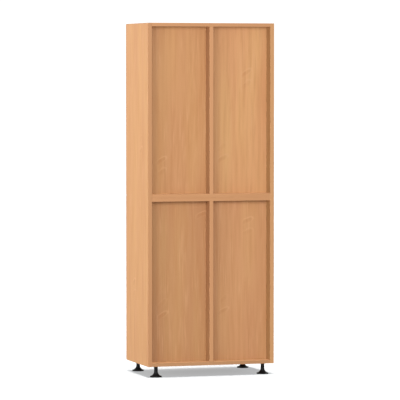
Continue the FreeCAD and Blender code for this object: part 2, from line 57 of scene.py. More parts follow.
def linear(hex_colour):
    """An sRGB hex colour as linear RGBA."""
    channels = [int(hex_colour[i:i + 2], 16) / 255 for i in (1, 3, 5)]
    curve = [c / 12.92 if c <= 0.04045 else ((c + 0.055) / 1.055) ** 2.4 for c in channels]
    return (*curve, 1.0)


def add_node(tree, kind, inputs=None, **settings):
    """Add a node, give it its settings, and set or link its inputs by name or number."""
    added = tree.nodes.new(kind)
    for name, value in settings.items():
        setattr(added, name, value)
    for key, value in (inputs or {}).items():
        for single in value if isinstance(value, list) else [value]:
            if isinstance(single, bpy.types.NodeSocket):
                tree.links.new(single, added.inputs[key])
            else:
                added.inputs[key].default_value = single
    return added


def new_material(name):
    """An empty material with its tree and its shader."""
    material = bpy.data.materials.new(name)
    material.use_nodes = True
    tree = material.node_tree
    return material, tree, tree.nodes["Principled BSDF"]


def dress(node, material):
    """Give a carried-over CAD node its material."""
    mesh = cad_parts[node].data
    mesh.materials.clear()
    mesh.materials.append(material)


def put_in_scene(name, data):
    """A new object with this name and data, in the scene."""
    piece = bpy.data.objects.new(name, data)
    bpy.context.scene.collection.objects.link(piece)
    return piece


def mesh_piece(name, shape):
    """A new object from a finished bmesh, with its place in its mesh."""
    mesh = bpy.data.meshes.new(name)
    shape.to_mesh(mesh)
    shape.free()
    return put_in_scene(name, mesh)


# Beech decor: melamine paper printed with beech and pressed on chipboard with a satin plate,
# so the figure is soft and low in contrast, and the surface is smooth with a dull even sheen.

STREAK_BROWN = "#C17F48"
HAIR_BEIGE = "#ECB688"
GLUE_BROWN = "#7D5638"
BAND_BEECH = "#CE9669"
# These boards' bands have tones of their own as painted light and shade: lighter on the dividers
# and the left side, darker on the right side and the bottom board
BAND_TONES = {
    "bottom_panel": "#BA8B64",
    "left_side": "#D59F6E",
    "right_side": "#C79066",
    "lower_divider": "#D39B6D",
    "upper_divider": "#D89F70",
}
FACE_TONES = ("#D89A6B", "#DEA36F")
SIDE_TONES = ("#D69C69", "#DCA56D")
# Each back panel has tones of its own: the left panels lighter than the right, as painted light,
# and the upper lighter than the lower, partly as painted light from above
BACK_TONES = {
    "upper_left": ("#E8B178", "#E5A875"),
    "upper_right": ("#D79C6B", "#DBA26D"),
    "lower_left": ("#DA9E6F", "#DEA572"),
    "lower_right": ("#CE9567", "#D29C69"),
}

# Turns that bring a board's grain to the texture's Z
GRAIN_TURNS = {"x": (0.0, -math.pi / 2, 0.0), "z": (0.0, 0.0, 0.0)}
# Each board comes from its own place in the print, between these distances from its origin
PRINT_PLACES = (3, 40)

# The figure's parts, each as its width across and its length along the grain.
# The grain sways sideways by up to 10 mm
SWAY = (120 * MM, 600 * MM)
SWAY_REACH = 20 * MM
# Broad bands, from pinkish to yellowish
BANDS = (90 * MM, 900 * MM)
BAND_SHARE = {"From Min": 0.34, "From Max": 0.66}
# Soft darker streaks
STREAKS = (20 * MM, 360 * MM)
STREAK_SHARE = {"From Min": 0.42, "From Max": 0.74, "To Max": 0.3}
# Hairlines: under 1 mm wide in beech, drawn 6.5 mm wide so that they show from across a room.
# The dark ones are the noise's low values and the light ones its high values
HAIRS = (6.5 * MM, 160 * MM)
DARK_HAIRS = {"From Min": 0.46, "From Max": 0.26}
LIGHT_HAIRS = {"From Min": 0.52, "From Max": 0.74}
# They stand in loose clusters, with calmer print between them
CLUSTERS = (60 * MM, 350 * MM)
DARKEST_HAIRS = {"From Min": 0.4, "From Max": 0.62, "To Min": 0.06, "To Max": 0.2}
BRIGHTEST_HAIRS = {"From Min": 0.4, "From Max": 0.62, "To Min": 0.04, "To Max": 0.4}
# Flecks: the short dark dashes of beech, 3 mm long, drawn 20 mm long so that they show
FLECKS = (4 * MM, 20 * MM)
FLECK_SHARE = {"From Min": 0.62, "From Max": 0.78, "To Max": 0.1}

# Curls: how far their outline wanders and its waves in a metre, the distance from one leaf shape
# to the next, and how many of these a chain takes to fade, with a short soft start
CURL_BEND = 34 * MM
CURL_WAVES = 16.0
CURL_STEP = 70 * MM
CURL_CHAIN = 1.8
CURL_START = 1.02
# A leaf's lean in radians, and its width and length, drawn by lot between these
LEAF_LEANS = (0.85, 1.15)
LEAF_WIDTHS = (20 * MM, 25 * MM)
LEAF_LENGTHS = (45 * MM, 55 * MM)
LEAF_INSIDE = {"From Min": 0.2, "From Max": 0.7, "To Max": 0.22}
LEAF_RIM = {"From Max": 0.4, "To Max": math.pi}
UPPER_RIM = {"From Min": -12 * MM, "From Max": 18 * MM, "To Min": 0.05, "To Max": 0.4}

# Edge bands: ABS strips with a plainer print, and the fine glue line behind them
BAND_THICKNESS = 2 * MM
BAND_PLAINNESS = 0.7
GLUE_LINE = 0.4 * MM
GLUE_SHARE = 0.35
# How far a face has to look along a board's axis to count as its edge
EDGE_LOOK = 0.7

# The press plate leaves a fine pore structure, 0.4 mm wide, drawn 1.5 mm wide
PORES = (1.5 * MM, 20 * MM)
PORE_DEPTH = 0.1 * MM
PORE_BUMP = 0.12
PRESSED_ROUGHNESS = {"To Min": 0.42, "To Max": 0.5}
MELAMINE_IOR = 1.5
MELAMINE_SHINE = 0.28


def stretched(tree, coordinates, across, along, **settings):
    """Noise with one period across and one along the grain, in metres."""
    scaled = add_node(tree, "ShaderNodeMapping", {
        "Vector": coordinates, "Scale": (1 / across, 1 / across, 1 / along)})
    inputs = {"Vector": scaled.outputs[0], "Scale": 1.0}
    inputs.update(settings)
    return add_node(tree, "ShaderNodeTexNoise", inputs).outputs[0]


def grain_run(tree, place, grain, shift):
    """A board's coordinates in the print, with the swaying grain along Z."""
    turned = add_node(tree, "ShaderNodeMapping", {
        "Vector": place.outputs["Object"], "Rotation": GRAIN_TURNS[grain],
        "Location": shift}).outputs[0]
    drift = stretched(tree, turned, *SWAY, Detail=1.0)
    sway = add_node(tree, "ShaderNodeMath", {0: drift, 1: 0.5}, operation="SUBTRACT")
    offset = add_node(tree, "ShaderNodeVectorMath", {
        0: (SWAY_REACH, SWAY_REACH, 0.0), "Scale": sway.outputs[0]}, operation="SCALE")
    return add_node(tree, "ShaderNodeVectorMath", {0: turned, 1: offset.outputs[0]}).outputs[0]


def beech_figure(tree, run, tones):
    """The print's ground colour, and how dark and how light its figure is over that. The streaks
    are given too, since the sheen follows them."""
    bands = stretched(tree, run, *BANDS, Detail=1.5, Roughness=0.4)
    band_share = add_node(tree, "ShaderNodeMapRange", {"Value": bands, **BAND_SHARE})
    ground = add_node(tree, "ShaderNodeMix", {
        SHARE: band_share.outputs[0], UNDER: linear(tones[0]), OVER: linear(tones[1])},
        data_type="RGBA")

    streaks = stretched(tree, run, *STREAKS, Detail=2.0, Roughness=0.5)
    streak_share = add_node(tree, "ShaderNodeMapRange", {"Value": streaks, **STREAK_SHARE})

    hairs = stretched(tree, run, *HAIRS, Detail=1.5, Roughness=0.5)
    clusters = stretched(tree, run, *CLUSTERS, Detail=1.0)
    darkest = add_node(tree, "ShaderNodeMapRange", {"Value": clusters, **DARKEST_HAIRS})
    dark_hairs = add_node(tree, "ShaderNodeMapRange", {
        "Value": hairs, **DARK_HAIRS, "To Max": darkest.outputs[0]})
    brightest = add_node(tree, "ShaderNodeMapRange", {"Value": clusters, **BRIGHTEST_HAIRS})
    light_hairs = add_node(tree, "ShaderNodeMapRange", {
        "Value": hairs, **LIGHT_HAIRS, "To Max": brightest.outputs[0]})

    dashes = stretched(tree, run, *FLECKS, Detail=1.0)
    fleck_share = add_node(tree, "ShaderNodeMapRange", {"Value": dashes, **FLECK_SHARE})
    lines = add_node(tree, "ShaderNodeMath", {0: streak_share.outputs[0], 1: dark_hairs.outputs[0]})
    dark = add_node(tree, "ShaderNodeMath", {0: lines.outputs[0], 1: fleck_share.outputs[0]})
    return ground.outputs[MIXED], dark.outputs[0], light_hairs.outputs[0], streaks


def add_curl(tree, place, centre, on_side, draw, dark, light):
    """Add a curl to how dark and how light the figure is: where the fibres turned round a bud,
    a chain of small leaf shapes that fade along the grain, each darker inside with a light
    upper rim."""
    # A side's face lies across X and the others' across Y, so its curls are as wide as Y
    turn_axis, (across_x, across_y) = ((1, 0, 0), (0, 1)) if on_side else ((0, 1, 0), (1, 0))
    away = add_node(tree, "ShaderNodeVectorMath", {0: place.outputs["Object"], 1: centre},
                    operation="SUBTRACT")
    wobble = add_node(tree, "ShaderNodeTexNoise", {"Vector": away.outputs[0], "Scale": CURL_WAVES})
    bent = add_node(tree, "ShaderNodeVectorMath", {
        0: wobble.outputs["Color"], 1: (CURL_BEND,) * 3, 2: away.outputs[0]},
        operation="MULTIPLY_ADD")
    spread = add_node(tree, "ShaderNodeSeparateXYZ", {0: bent.outputs[0]})
    height = add_node(tree, "ShaderNodeMath", {0: spread.outputs[2], 1: -CURL_BEND / 2}).outputs[0]
    step = add_node(tree, "ShaderNodeMath", {0: height, 1: CURL_STEP / 2, 2: -CURL_STEP / 2},
                    operation="WRAP").outputs[0]

    fading = draw.choice((-1, 1)) * CURL_CHAIN * CURL_STEP
    faded = add_node(tree, "ShaderNodeMapRange", {
        "Value": height, "From Min": fading, "From Max": 0.0})
    start = math.copysign(CURL_STEP / 2, -fading)
    started = add_node(tree, "ShaderNodeMapRange", {
        "Value": height, "From Min": start * CURL_START, "From Max": start})
    fade = add_node(tree, "ShaderNodeMath", {0: faded.outputs[0], 1: started.outputs[0]},
                    operation="MULTIPLY").outputs[0]

    flat = add_node(tree, "ShaderNodeCombineXYZ", {
        0: spread.outputs[0], 1: spread.outputs[1], 2: step})
    leaned = add_node(tree, "ShaderNodeVectorRotate", {
        "Vector": flat.outputs[0], "Axis": turn_axis, "Angle": draw.uniform(*LEAF_LEANS)})
    width, length = draw.uniform(*LEAF_WIDTHS), draw.uniform(*LEAF_LENGTHS)
    shrunk = add_node(tree, "ShaderNodeMapping", {
        "Vector": leaned.outputs[0], "Scale": (across_x / width, across_y / width, 1 / length)})
    leaf = add_node(tree, "ShaderNodeTexGradient", {"Vector": shrunk.outputs[0]},
                    gradient_type="SPHERICAL").outputs["Fac"]

    inside = add_node(tree, "ShaderNodeMapRange", {"Value": leaf, **LEAF_INSIDE})
    shaded = add_node(tree, "ShaderNodeMath", {0: inside.outputs[0], 1: fade, 2: dark},
                      operation="MULTIPLY_ADD")
    round_rim = add_node(tree, "ShaderNodeMapRange", {"Value": leaf, **LEAF_RIM})
    rim = add_node(tree, "ShaderNodeMath", {0: round_rim.outputs[0]}, operation="SINE")
    upper = add_node(tree, "ShaderNodeMapRange", {"Value": step, **UPPER_RIM})
    upper_rim = add_node(tree, "ShaderNodeMath", {0: rim.outputs[0], 1: upper.outputs[0]},
                         operation="MULTIPLY")
    lit = add_node(tree, "ShaderNodeMath", {0: upper_rim.outputs[0], 1: fade, 2: light},
                   operation="MULTIPLY_ADD", use_clamp=True)
    return shaded.outputs[0], lit.outputs[0]


def either(tree, first, second):
    """Where one mask or the other shows, when there is a first one."""
    if first is None:
        return second
    return add_node(tree, "ShaderNodeMath", {0: first, 1: second}, operation="MAXIMUM").outputs[0]


def edge_banded(tree, place, edge_axes, box, printed, band):
    """The print's colour with the edge bands and their glue lines over it."""
    normal = add_node(tree, "ShaderNodeSeparateXYZ", {0: place.outputs["Normal"]})
    position = add_node(tree, "ShaderNodeSeparateXYZ", {0: place.outputs["Object"]})
    on_band = on_line = None
    for axis in edge_axes:
        number = "xyz".index(axis)
        low, high = box[0][number], box[1][number]
        look = add_node(tree, "ShaderNodeMath", {0: normal.outputs[number]}, operation="ABSOLUTE")
        edge_face = add_node(tree, "ShaderNodeMath", {0: look.outputs[0], 1: EDGE_LOOK},
                             operation="GREATER_THAN").outputs[0]
        centred = add_node(tree, "ShaderNodeMath", {
            0: position.outputs[number], 1: (low + high) / 2}, operation="SUBTRACT")
        distance = add_node(tree, "ShaderNodeMath", {0: centred.outputs[0]},
                            operation="ABSOLUTE").outputs[0]
        inner_end = (high - low) / 2 - BAND_THICKNESS
        in_strip = add_node(tree, "ShaderNodeMath", {0: distance, 1: inner_end},
                            operation="GREATER_THAN").outputs[0]
        beside = add_node(tree, "ShaderNodeMath", {0: distance, 1: inner_end, 2: GLUE_LINE},
                          operation="COMPARE").outputs[0]
        line = add_node(tree, "ShaderNodeMath", {0: edge_face, 1: beside}, operation="LESS_THAN")
        on_band = either(tree, on_band, either(tree, edge_face, in_strip))
        on_line = either(tree, on_line, line.outputs[0])
    plain = add_node(tree, "ShaderNodeMix", {
        SHARE: BAND_PLAINNESS, UNDER: printed, OVER: linear(band)}, data_type="RGBA")
    banded = add_node(tree, "ShaderNodeMix", {
        SHARE: on_band, UNDER: printed, OVER: plain.outputs[MIXED]}, data_type="RGBA")
    faint = add_node(tree, "ShaderNodeMath", {0: on_line, 1: GLUE_SHARE}, operation="MULTIPLY")
    return add_node(tree, "ShaderNodeMix", {
        SHARE: faint.outputs[0], UNDER: banded.outputs[MIXED], OVER: linear(GLUE_BROWN)},
        data_type="RGBA").outputs[MIXED]


def beech_decor(name, grain, edge_axes, box, seed, tones, band, curls):
    """One board's decor: its grain's axis, its banded edges, its two ground tones, its band's tone
    and the places of the curls in its print."""
    material, tree, shader = new_material(name)
    draw = random.Random(seed)
    shift = tuple(draw.uniform(*PRINT_PLACES) for _ in "xyz")
    place = add_node(tree, "ShaderNodeTexCoord")
    run = grain_run(tree, place, grain, shift)
    ground, dark, light, streaks = beech_figure(tree, run, tones)
    for centre in curls:
        dark, light = add_curl(tree, place, centre, edge_axes == "yz", draw, dark, light)
    streaked = add_node(tree, "ShaderNodeMix", {
        SHARE: dark, UNDER: ground, OVER: linear(STREAK_BROWN)}, data_type="RGBA")
    printed = add_node(tree, "ShaderNodeMix", {
        SHARE: light, UNDER: streaked.outputs[MIXED], OVER: linear(HAIR_BEIGE)}, data_type="RGBA")
    colour = printed.outputs[MIXED]
    if edge_axes:
        colour = edge_banded(tree, place, edge_axes, box, colour, band)
    tree.links.new(colour, shader.inputs["Base Color"])

    pores = stretched(tree, run, *PORES, Detail=2.0)
    bump = add_node(tree, "ShaderNodeBump", {
        "Strength": PORE_BUMP, "Distance": PORE_DEPTH, "Height": pores})
    tree.links.new(bump.outputs[0], shader.inputs["Normal"])
    sheen = add_node(tree, "ShaderNodeMapRange", {"Value": streaks, **PRESSED_ROUGHNESS})
    tree.links.new(sheen.outputs[0], shader.inputs["Roughness"])
    shader.inputs["IOR"].default_value = MELAMINE_IOR
    shader.inputs["Specular IOR Level"].default_value = MELAMINE_SHINE
    return material


# Each board: its grain, its banded axes and its two ground tones
boards = {}
for hand in ("left", "right"):
    boards[f"{hand}_side"] = ("z", "yz", SIDE_TONES)
for level in ("bottom", "lower_middle", "upper_middle", "top"):
    boards[f"{level}_panel"] = ("x", "y", FACE_TONES)
for room in ("lower", "upper"):
    boards[f"{room}_divider"] = ("z", "y", FACE_TONES)
    for hand in ("left", "right"):
        boards[f"{room}_{hand}_back"] = ("z", "", BACK_TONES[f"{room}_{hand}"])
        boards[f"{room}_{hand}_door"] = ("z", "xz", FACE_TONES)
        for number in (1, 2):
            boards[f"{room}_{hand}_shelf_{number}"] = ("x", "y", FACE_TONES)

# Places of the curls in the back panels' print, as x and z
BACK_CURLS = {
    "upper_left": ((-0.225, 1.84), (-0.075, 1.32)),
    "upper_right": ((0.315, 1.31),),
    "lower_left": ((-0.235, 0.94), (-0.08, 0.39)),
    "lower_right": ((0.31, 0.37), (0.06, 0.98)),
}
# Rough places of the two curls on a door or a side, as shares of its width and its height, and
# how far the lot moves them
CURL_SHARES = ((0.3, 0.25), (0.68, 0.72))
CURL_LOT = 0.1


def curl_places(node, low, high):
    """The curls in one board's print: the back panels' as photographed, the rest drawn by lot."""
    kind = node.rsplit("_", 1)[-1]
    if kind == "back":
        return [(x, 0.0, z) for x, z in BACK_CURLS[node.removesuffix("_back")]]
    if kind not in ("door", "side"):
        return []
    draw = random.Random(node)
    places = []
    for across, up in CURL_SHARES:
        across += draw.uniform(-CURL_LOT, CURL_LOT)
        up += draw.uniform(-CURL_LOT, CURL_LOT)
        places.append(tuple(l + (h - l) * share
                            for l, h, share in zip(low, high, (across, across, up))))
    return places


FIRST_SEED = 11
for seed, (node, (grain, edge_axes, tones)) in enumerate(boards.items(), start=FIRST_SEED):
    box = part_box(node)
    dress(node, beech_decor(f"beech_decor_{node}", grain, edge_axes, box, seed, tones,
                            BAND_TONES.get(node, BAND_BEECH), curl_places(node, *box)))


# Metals and plastics

# The part of the noise that a surface's marks use
MARK_RANGE = {"From Min": 0.3, "From Max": 0.7}


def metal(name, tones, roughness, spread, mark_size):
    """A plated or brushed metal: its tones, its roughness and how far that spreads, and the
    width and length of its surface marks in metres."""
    material, tree, shader = new_material(name)
    place = add_node(tree, "ShaderNodeTexCoord")
    marks = stretched(tree, place.outputs["Object"], *mark_size, Detail=3.0, Roughness=0.6)
    gloss = add_node(tree, "ShaderNodeMapRange", {
        "Value": marks, **MARK_RANGE, "To Min": roughness - spread, "To Max": roughness + spread})
    tree.links.new(gloss.outputs[0], shader.inputs["Roughness"])
    tint = add_node(tree, "ShaderNodeMix", {
        SHARE: marks, UNDER: linear(tones[0]), OVER: linear(tones[1])}, data_type="RGBA")
    tree.links.new(tint.outputs[MIXED], shader.inputs["Base Color"])
    bump = add_node(tree, "ShaderNodeBump", {
        "Strength": 0.25, "Distance": 0.02 * MM, "Height": marks})
    tree.links.new(bump.outputs[0], shader.inputs["Normal"])
    shader.inputs["Metallic"].default_value = 1.0
    return material


# Hinges: steel strip, deep-drawn and bright nickel plated, so it mirrors softly with a warm tint.
# The marks are the drawing's shallow waves, 4 mm wide
hinge_nickel = metal("nickel_plated_steel", ("#B9B4AA", "#D3CFC6"),
                     roughness=0.24, spread=0.07, mark_size=(4 * MM, 12 * MM))
# Handles: round steel bar, ground along its length and satin nickel plated. The grinding lines,
# under 0.1 mm wide, are drawn 1.2 mm wide
satin_nickel = metal("satin_nickel", ("#A9A59D", "#C6C2BA"),
                     roughness=0.34, spread=0.06, mark_size=(1.2 * MM, 40 * MM))
# Pins, screws and spindles: zinc plated and blue passivated, a cooler and duller grey. The
# clouding of the zinc, under 1 mm wide, is drawn 2 mm wide
zinc = metal("zinc_plated_steel", ("#A8ABAE", "#C9CCCF"),
             roughness=0.36, spread=0.08, mark_size=(2 * MM, 4 * MM))

PLASTIC_SPREAD = 0.05
PLASTIC_IOR = 1.49


def moulded_plastic(name, tones, roughness, grain, bump_height):
    """A moulded plastic with the fine sparked grain of its mould."""
    material, tree, shader = new_material(name)
    place = add_node(tree, "ShaderNodeTexCoord")
    texture = stretched(tree, place.outputs["Object"], grain, grain, Detail=4.0, Roughness=0.7)
    tint = add_node(tree, "ShaderNodeMix", {
        SHARE: texture, UNDER: linear(tones[0]), OVER: linear(tones[1])}, data_type="RGBA")
    tree.links.new(tint.outputs[MIXED], shader.inputs["Base Color"])
    gloss = add_node(tree, "ShaderNodeMapRange", {
        "Value": texture, **MARK_RANGE,
        "To Min": roughness - PLASTIC_SPREAD, "To Max": roughness + PLASTIC_SPREAD})
    tree.links.new(gloss.outputs[0], shader.inputs["Roughness"])
    bump = add_node(tree, "ShaderNodeBump", {
        "Strength": 0.4, "Distance": bump_height, "Height": texture})
    tree.links.new(bump.outputs[0], shader.inputs["Normal"])
    shader.inputs["IOR"].default_value = PLASTIC_IOR
    return material, shader


# Feet: black polypropylene from a sparked mould, near black with a soft sheen. The mould's grain,
# 0.1 mm wide, is drawn 1.2 mm wide
black_plastic, black_shader = moulded_plastic(
    "black_polypropylene", ("#0E0E0F", "#151516"),
    roughness=0.5, grain=1.2 * MM, bump_height=0.05 * MM)
black_shader.inputs["Specular IOR Level"].default_value = 0.15
# Door buffers: clear soft polyurethane discs that look milky white on the board, nearly smooth
buffer_plastic, buffer_shader = moulded_plastic(
    "soft_polyurethane", ("#DAD8D0", "#E8E6DE"),
    roughness=0.35, grain=2 * MM, bump_height=0.01 * MM)
buffer_shader.inputs["Transmission Weight"].default_value = 0.35

for room in ("lower", "upper"):
    dress(f"{room}_shelf_pins", zinc)
    for hand in ("left", "right"):
        dress(f"{room}_{hand}_hinge_cups", hinge_nickel)
        dress(f"{room}_{hand}_hinge_links", hinge_nickel)
        dress(f"{room}_{hand}_handle", satin_nickel)
for node in ("hinge_arms", "hinge_plates"):
    dress(node, hinge_nickel)
dress("foot_inserts", zinc)
dress("door_buffers", buffer_plastic)


# Screws

# A head's flat top, its cross's length and width, as shares of the head's radius
CROWN_SHARE = 0.8
CROSS_LENGTH_SHARE = 1.1
CROSS_WIDTH_SHARE = 0.26
HEAD_SIDES = 20
SHANK_SIDES = 12


def new_geometry_tree(name, source, sizes, result):
    """An empty tree for Geometry Nodes that takes a source, these sizes and a finish."""
    tree = bpy.data.node_groups.new(name, "GeometryNodeTree")
    tree.interface.new_socket(source, in_out="INPUT", socket_type="NodeSocketGeometry")
    for size in sizes:
        tree.interface.new_socket(size, in_out="INPUT", socket_type="NodeSocketFloat")
    tree.interface.new_socket("Finish", in_out="INPUT", socket_type="NodeSocketMaterial")
    tree.interface.new_socket(result, in_out="OUTPUT", socket_type="NodeSocketGeometry")
    return tree


def give_result(tree, copies, finish):
    """Make the copies real, give them their finish and end the tree with them."""
    real = add_node(tree, "GeometryNodeRealizeInstances", {0: copies.outputs[0]})
    finished = add_node(tree, "GeometryNodeSetMaterial", {
        "Geometry": real.outputs[0], "Material": finish})
    add_node(tree, "NodeGroupOutput", {0: finished.outputs[0]})


def screw_tree():
    """Cross-head screws on points: a tapered head with a cross recess, and its shank."""
    tree = new_geometry_tree("cross_head_screws", "Points", (
        "Head Radius", "Head Height", "Shank Radius", "Shank Length"), "Screws")
    tree.interface.new_socket("Seed", in_out="INPUT", socket_type="NodeSocketInt")
    given = add_node(tree, "NodeGroupInput").outputs

    crown, cross_length, cross_width = (
        add_node(tree, "ShaderNodeMath", {0: given["Head Radius"], 1: share},
                 operation="MULTIPLY").outputs[0]
        for share in (CROWN_SHARE, CROSS_LENGTH_SHARE, CROSS_WIDTH_SHARE))
    head = add_node(tree, "GeometryNodeMeshCone", {
        "Vertices": HEAD_SIDES, "Radius Top": crown, "Radius Bottom": given["Head Radius"],
        "Depth": given["Head Height"]})
    slots = []
    for along, beside in ((cross_length, cross_width), (cross_width, cross_length)):
        size = add_node(tree, "ShaderNodeCombineXYZ", {
            0: along, 1: beside, 2: given["Head Height"]})
        block = add_node(tree, "GeometryNodeMeshCube", {"Size": size.outputs[0]})
        lift = add_node(tree, "ShaderNodeCombineXYZ", {2: given["Head Height"]})
        slots.append(add_node(tree, "GeometryNodeTransform", {
            "Geometry": block.outputs[0], "Translation": lift.outputs[0]}).outputs[0])
    cut_head = add_node(tree, "GeometryNodeMeshBoolean", {
        "Mesh 1": head.outputs[0], "Mesh 2": slots}, operation="DIFFERENCE", solver="EXACT")
    shank = add_node(tree, "GeometryNodeMeshCylinder", {
        "Vertices": SHANK_SIDES, "Radius": given["Shank Radius"], "Depth": given["Shank Length"]})
    down = add_node(tree, "ShaderNodeMath", {0: given["Shank Length"], 1: -0.5},
                    operation="MULTIPLY")
    sunk = add_node(tree, "ShaderNodeCombineXYZ", {2: down.outputs[0]})
    placed_shank = add_node(tree, "GeometryNodeTransform", {
        "Geometry": shank.outputs[0], "Translation": sunk.outputs[0]})
    screw = add_node(tree, "GeometryNodeJoinGeometry", {
        0: [placed_shank.outputs[0], cut_head.outputs[0]]})

    facing = add_node(tree, "GeometryNodeInputNamedAttribute", {"Name": "facing"},
                      data_type="FLOAT_VECTOR")
    aligned = add_node(tree, "FunctionNodeAlignRotationToVector", {"Vector": facing.outputs[0]},
                       axis="Z")
    spin = add_node(tree, "FunctionNodeRandomValue", {
        "Min": (0.0, 0.0, 0.0), "Max": (0.0, 0.0, math.pi / 2), "Seed": given["Seed"]},
        data_type="FLOAT_VECTOR")
    spin_rotation = add_node(tree, "FunctionNodeEulerToRotation", {0: spin.outputs[0]})
    rotation = add_node(tree, "FunctionNodeRotateRotation", {
        0: aligned.outputs[0], 1: spin_rotation.outputs[0]}, rotation_space="LOCAL")
    copies = add_node(tree, "GeometryNodeInstanceOnPoints", {
        "Points": given["Points"], "Instance": screw.outputs[0], "Rotation": rotation.outputs[0]})
    give_result(tree, copies, given["Finish"])
    return tree


def grow(name, tree, source, inputs):
    """Run a node tree on a source mesh with named inputs, and keep the result as a plain mesh."""
    maker = mesh_piece(f"{name}_source", source)
    modifier = maker.modifiers.new("grow", "NODES")
    modifier.node_group = tree
    sockets = {item.name: item.identifier for item in tree.interface.items_tree
               if item.item_type == "SOCKET" and item.in_out == "INPUT"}
    for label, value in inputs.items():
        modifier[sockets[label]] = value
    bpy.context.view_layer.update()
    evaluated = maker.evaluated_get(bpy.context.evaluated_depsgraph_get())
    mesh = bpy.data.meshes.new_from_object(evaluated)
    maker.modifiers.remove(modifier)
    bpy.data.objects.remove(maker)
    mesh.name = name
    return put_in_scene(name, mesh)


def marked_points(spots):
    """Loose points, each with the way it faces."""
    shape = bmesh.new()
    layer = shape.verts.layers.float_vector.new("facing")
    for place, way in spots:
        shape.verts.new(place)[layer] = way
    return shape


screws = screw_tree()


def add_screws(name, body, spots, head, shank, *replaced):
    """Screws at these spots, each given as its place and the way its head faces."""
    piece = grow(name, screws, marked_points(spots), {
        "Head Radius": head[0], "Head Height": head[1], "Shank Radius": shank[0],
        "Shank Length": shank[1], "Seed": len(name), "Finish": zinc})
    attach(piece, body)
    if replaced:
        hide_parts(*replaced)


HALF_WIDTH = 400 * MM
CARCASS_FRONT = -211 * MM
DOOR_BACK = -213 * MM
HANDLE_INSET = 37.5 * MM
SIGNS = {"left": -1, "right": 1}
HINGE_HEIGHTS = {
    "lower": (167 * MM, 575.75 * MM, 984.5 * MM),
    "upper": (1187.5 * MM, 1614.25 * MM, 2041 * MM),
}
HANDLE_LEGS = {"lower": (870.5 * MM, 998.5 * MM), "upper": (1173.5 * MM, 1301.5 * MM)}
# Screw places on a hinge: distance in from the outer face, back from the carcass front, and
# above or below the hinge's middle
PLATE_PLACES = [(27 * MM, 37 * MM, side * 16 * MM) for side in (-1, 1)]
ARM_PLACES = [(38.4 * MM, back * MM, 0.0) for back in (18, 46)]
FLANGE_PLACES = [(33 * MM, -0.8 * MM, side * 24.5 * MM) for side in (-1, 1)]
# Each kind of screw: its head's radius and height, then its shank's radius and length
PLATE_SCREW = ((4 * MM, 1.1 * MM), (2.8 * MM, 12 * MM))
ARM_SCREW = ((3.4 * MM, 1.2 * MM), (2.2 * MM, 6 * MM))
CUP_SCREW = ((3.3 * MM, 0.7 * MM), (1.6 * MM, 10 * MM))
HANDLE_BOLT = ((4 * MM, 2.4 * MM), (2 * MM, 27 * MM))


def hinge_spots(room, hand, places, way):
    """The same places on each hinge of one door, with the way that their screws face."""
    sign = SIGNS[hand]
    for middle in HINGE_HEIGHTS[room]:
        for inset, back, up in places:
            spot = (sign * (HALF_WIDTH - inset), CARCASS_FRONT + back, middle + up)
            yield spot, (way[0] * sign, way[1], way[2])


plate_spots = []
arm_spots = []
for room in HINGE_HEIGHTS:
    for hand in SIGNS:
        plate_spots += hinge_spots(room, hand, PLATE_PLACES, (-1, 0, 0))
        arm_spots += hinge_spots(room, hand, ARM_PLACES, (-1, 0, 0))
        flange_spots = list(hinge_spots(room, hand, FLANGE_PLACES, (0, 1, 0)))
        add_screws(f"{room}_{hand}_cup_screws", f"{room}_{hand}_door_set", flange_spots,
                   *CUP_SCREW)
        handle_x = SIGNS[hand] * HANDLE_INSET
        leg_spots = [((handle_x, DOOR_BACK, z), (0, 1, 0)) for z in HANDLE_LEGS[room]]
        add_screws(f"{room}_{hand}_handle_bolts", f"{room}_{hand}_door_set", leg_spots,
                   *HANDLE_BOLT, f"{room}_{hand}_handle_screws")
add_screws("plate_screws", "carcass", plate_spots, *PLATE_SCREW)
add_screws("arm_screws", "carcass", arm_spots, *ARM_SCREW)


# Feet: a moulded trumpet with a rounded rim, turned from its outline

FOOT_HEIGHT = 66 * MM
BASE_RADIUS = 36 * MM
STEM_RADIUS = 11.4 * MM
FLARE_RADIUS = 29.5 * MM
FLARE_HEIGHT = 36 * MM
FLARE_STEPS = 18
# The roundings: below the rim, with its bulge halfway, then above the rim and at the stem's top,
# and how far the rim's side ends below the flare
UNDER_ROUND = 1.0 * MM
UNDER_BULGE = 0.3 * MM
UPPER_ROUND = 0.6 * MM
RIM_DROP = 0.8 * MM
SPINDLE_RADIUS = 5 * MM
SOCKET_FLOOR = 12 * MM
SPINDLE_TOP = 84 * MM
SPIN_STEPS = 72
SHARP_EDGE = math.radians(40)
WELD = 1e-6


def foot_outline():
    """Radius and height of the foot's outline, from the middle of its underside to its socket."""
    points = [(0.0, 0.0), (BASE_RADIUS - UNDER_ROUND, 0.0),
              (BASE_RADIUS - UNDER_BULGE, UNDER_BULGE), (BASE_RADIUS, UNDER_ROUND)]
    centre = STEM_RADIUS + FLARE_RADIUS
    lowest = math.acos((centre - BASE_RADIUS + UPPER_ROUND) / FLARE_RADIUS)
    points.append((BASE_RADIUS, FLARE_HEIGHT - FLARE_RADIUS * math.sin(lowest) - RIM_DROP))
    for step in range(FLARE_STEPS + 1):
        angle = lowest * (1 - step / FLARE_STEPS)
        points.append((centre - FLARE_RADIUS * math.cos(angle),
                       FLARE_HEIGHT - FLARE_RADIUS * math.sin(angle)))
    points += [(STEM_RADIUS, FOOT_HEIGHT - UPPER_ROUND), (STEM_RADIUS - UPPER_ROUND, FOOT_HEIGHT),
               (SPINDLE_RADIUS, FOOT_HEIGHT), (SPINDLE_RADIUS, SOCKET_FLOOR), (0.0, SOCKET_FLOOR)]
    return points


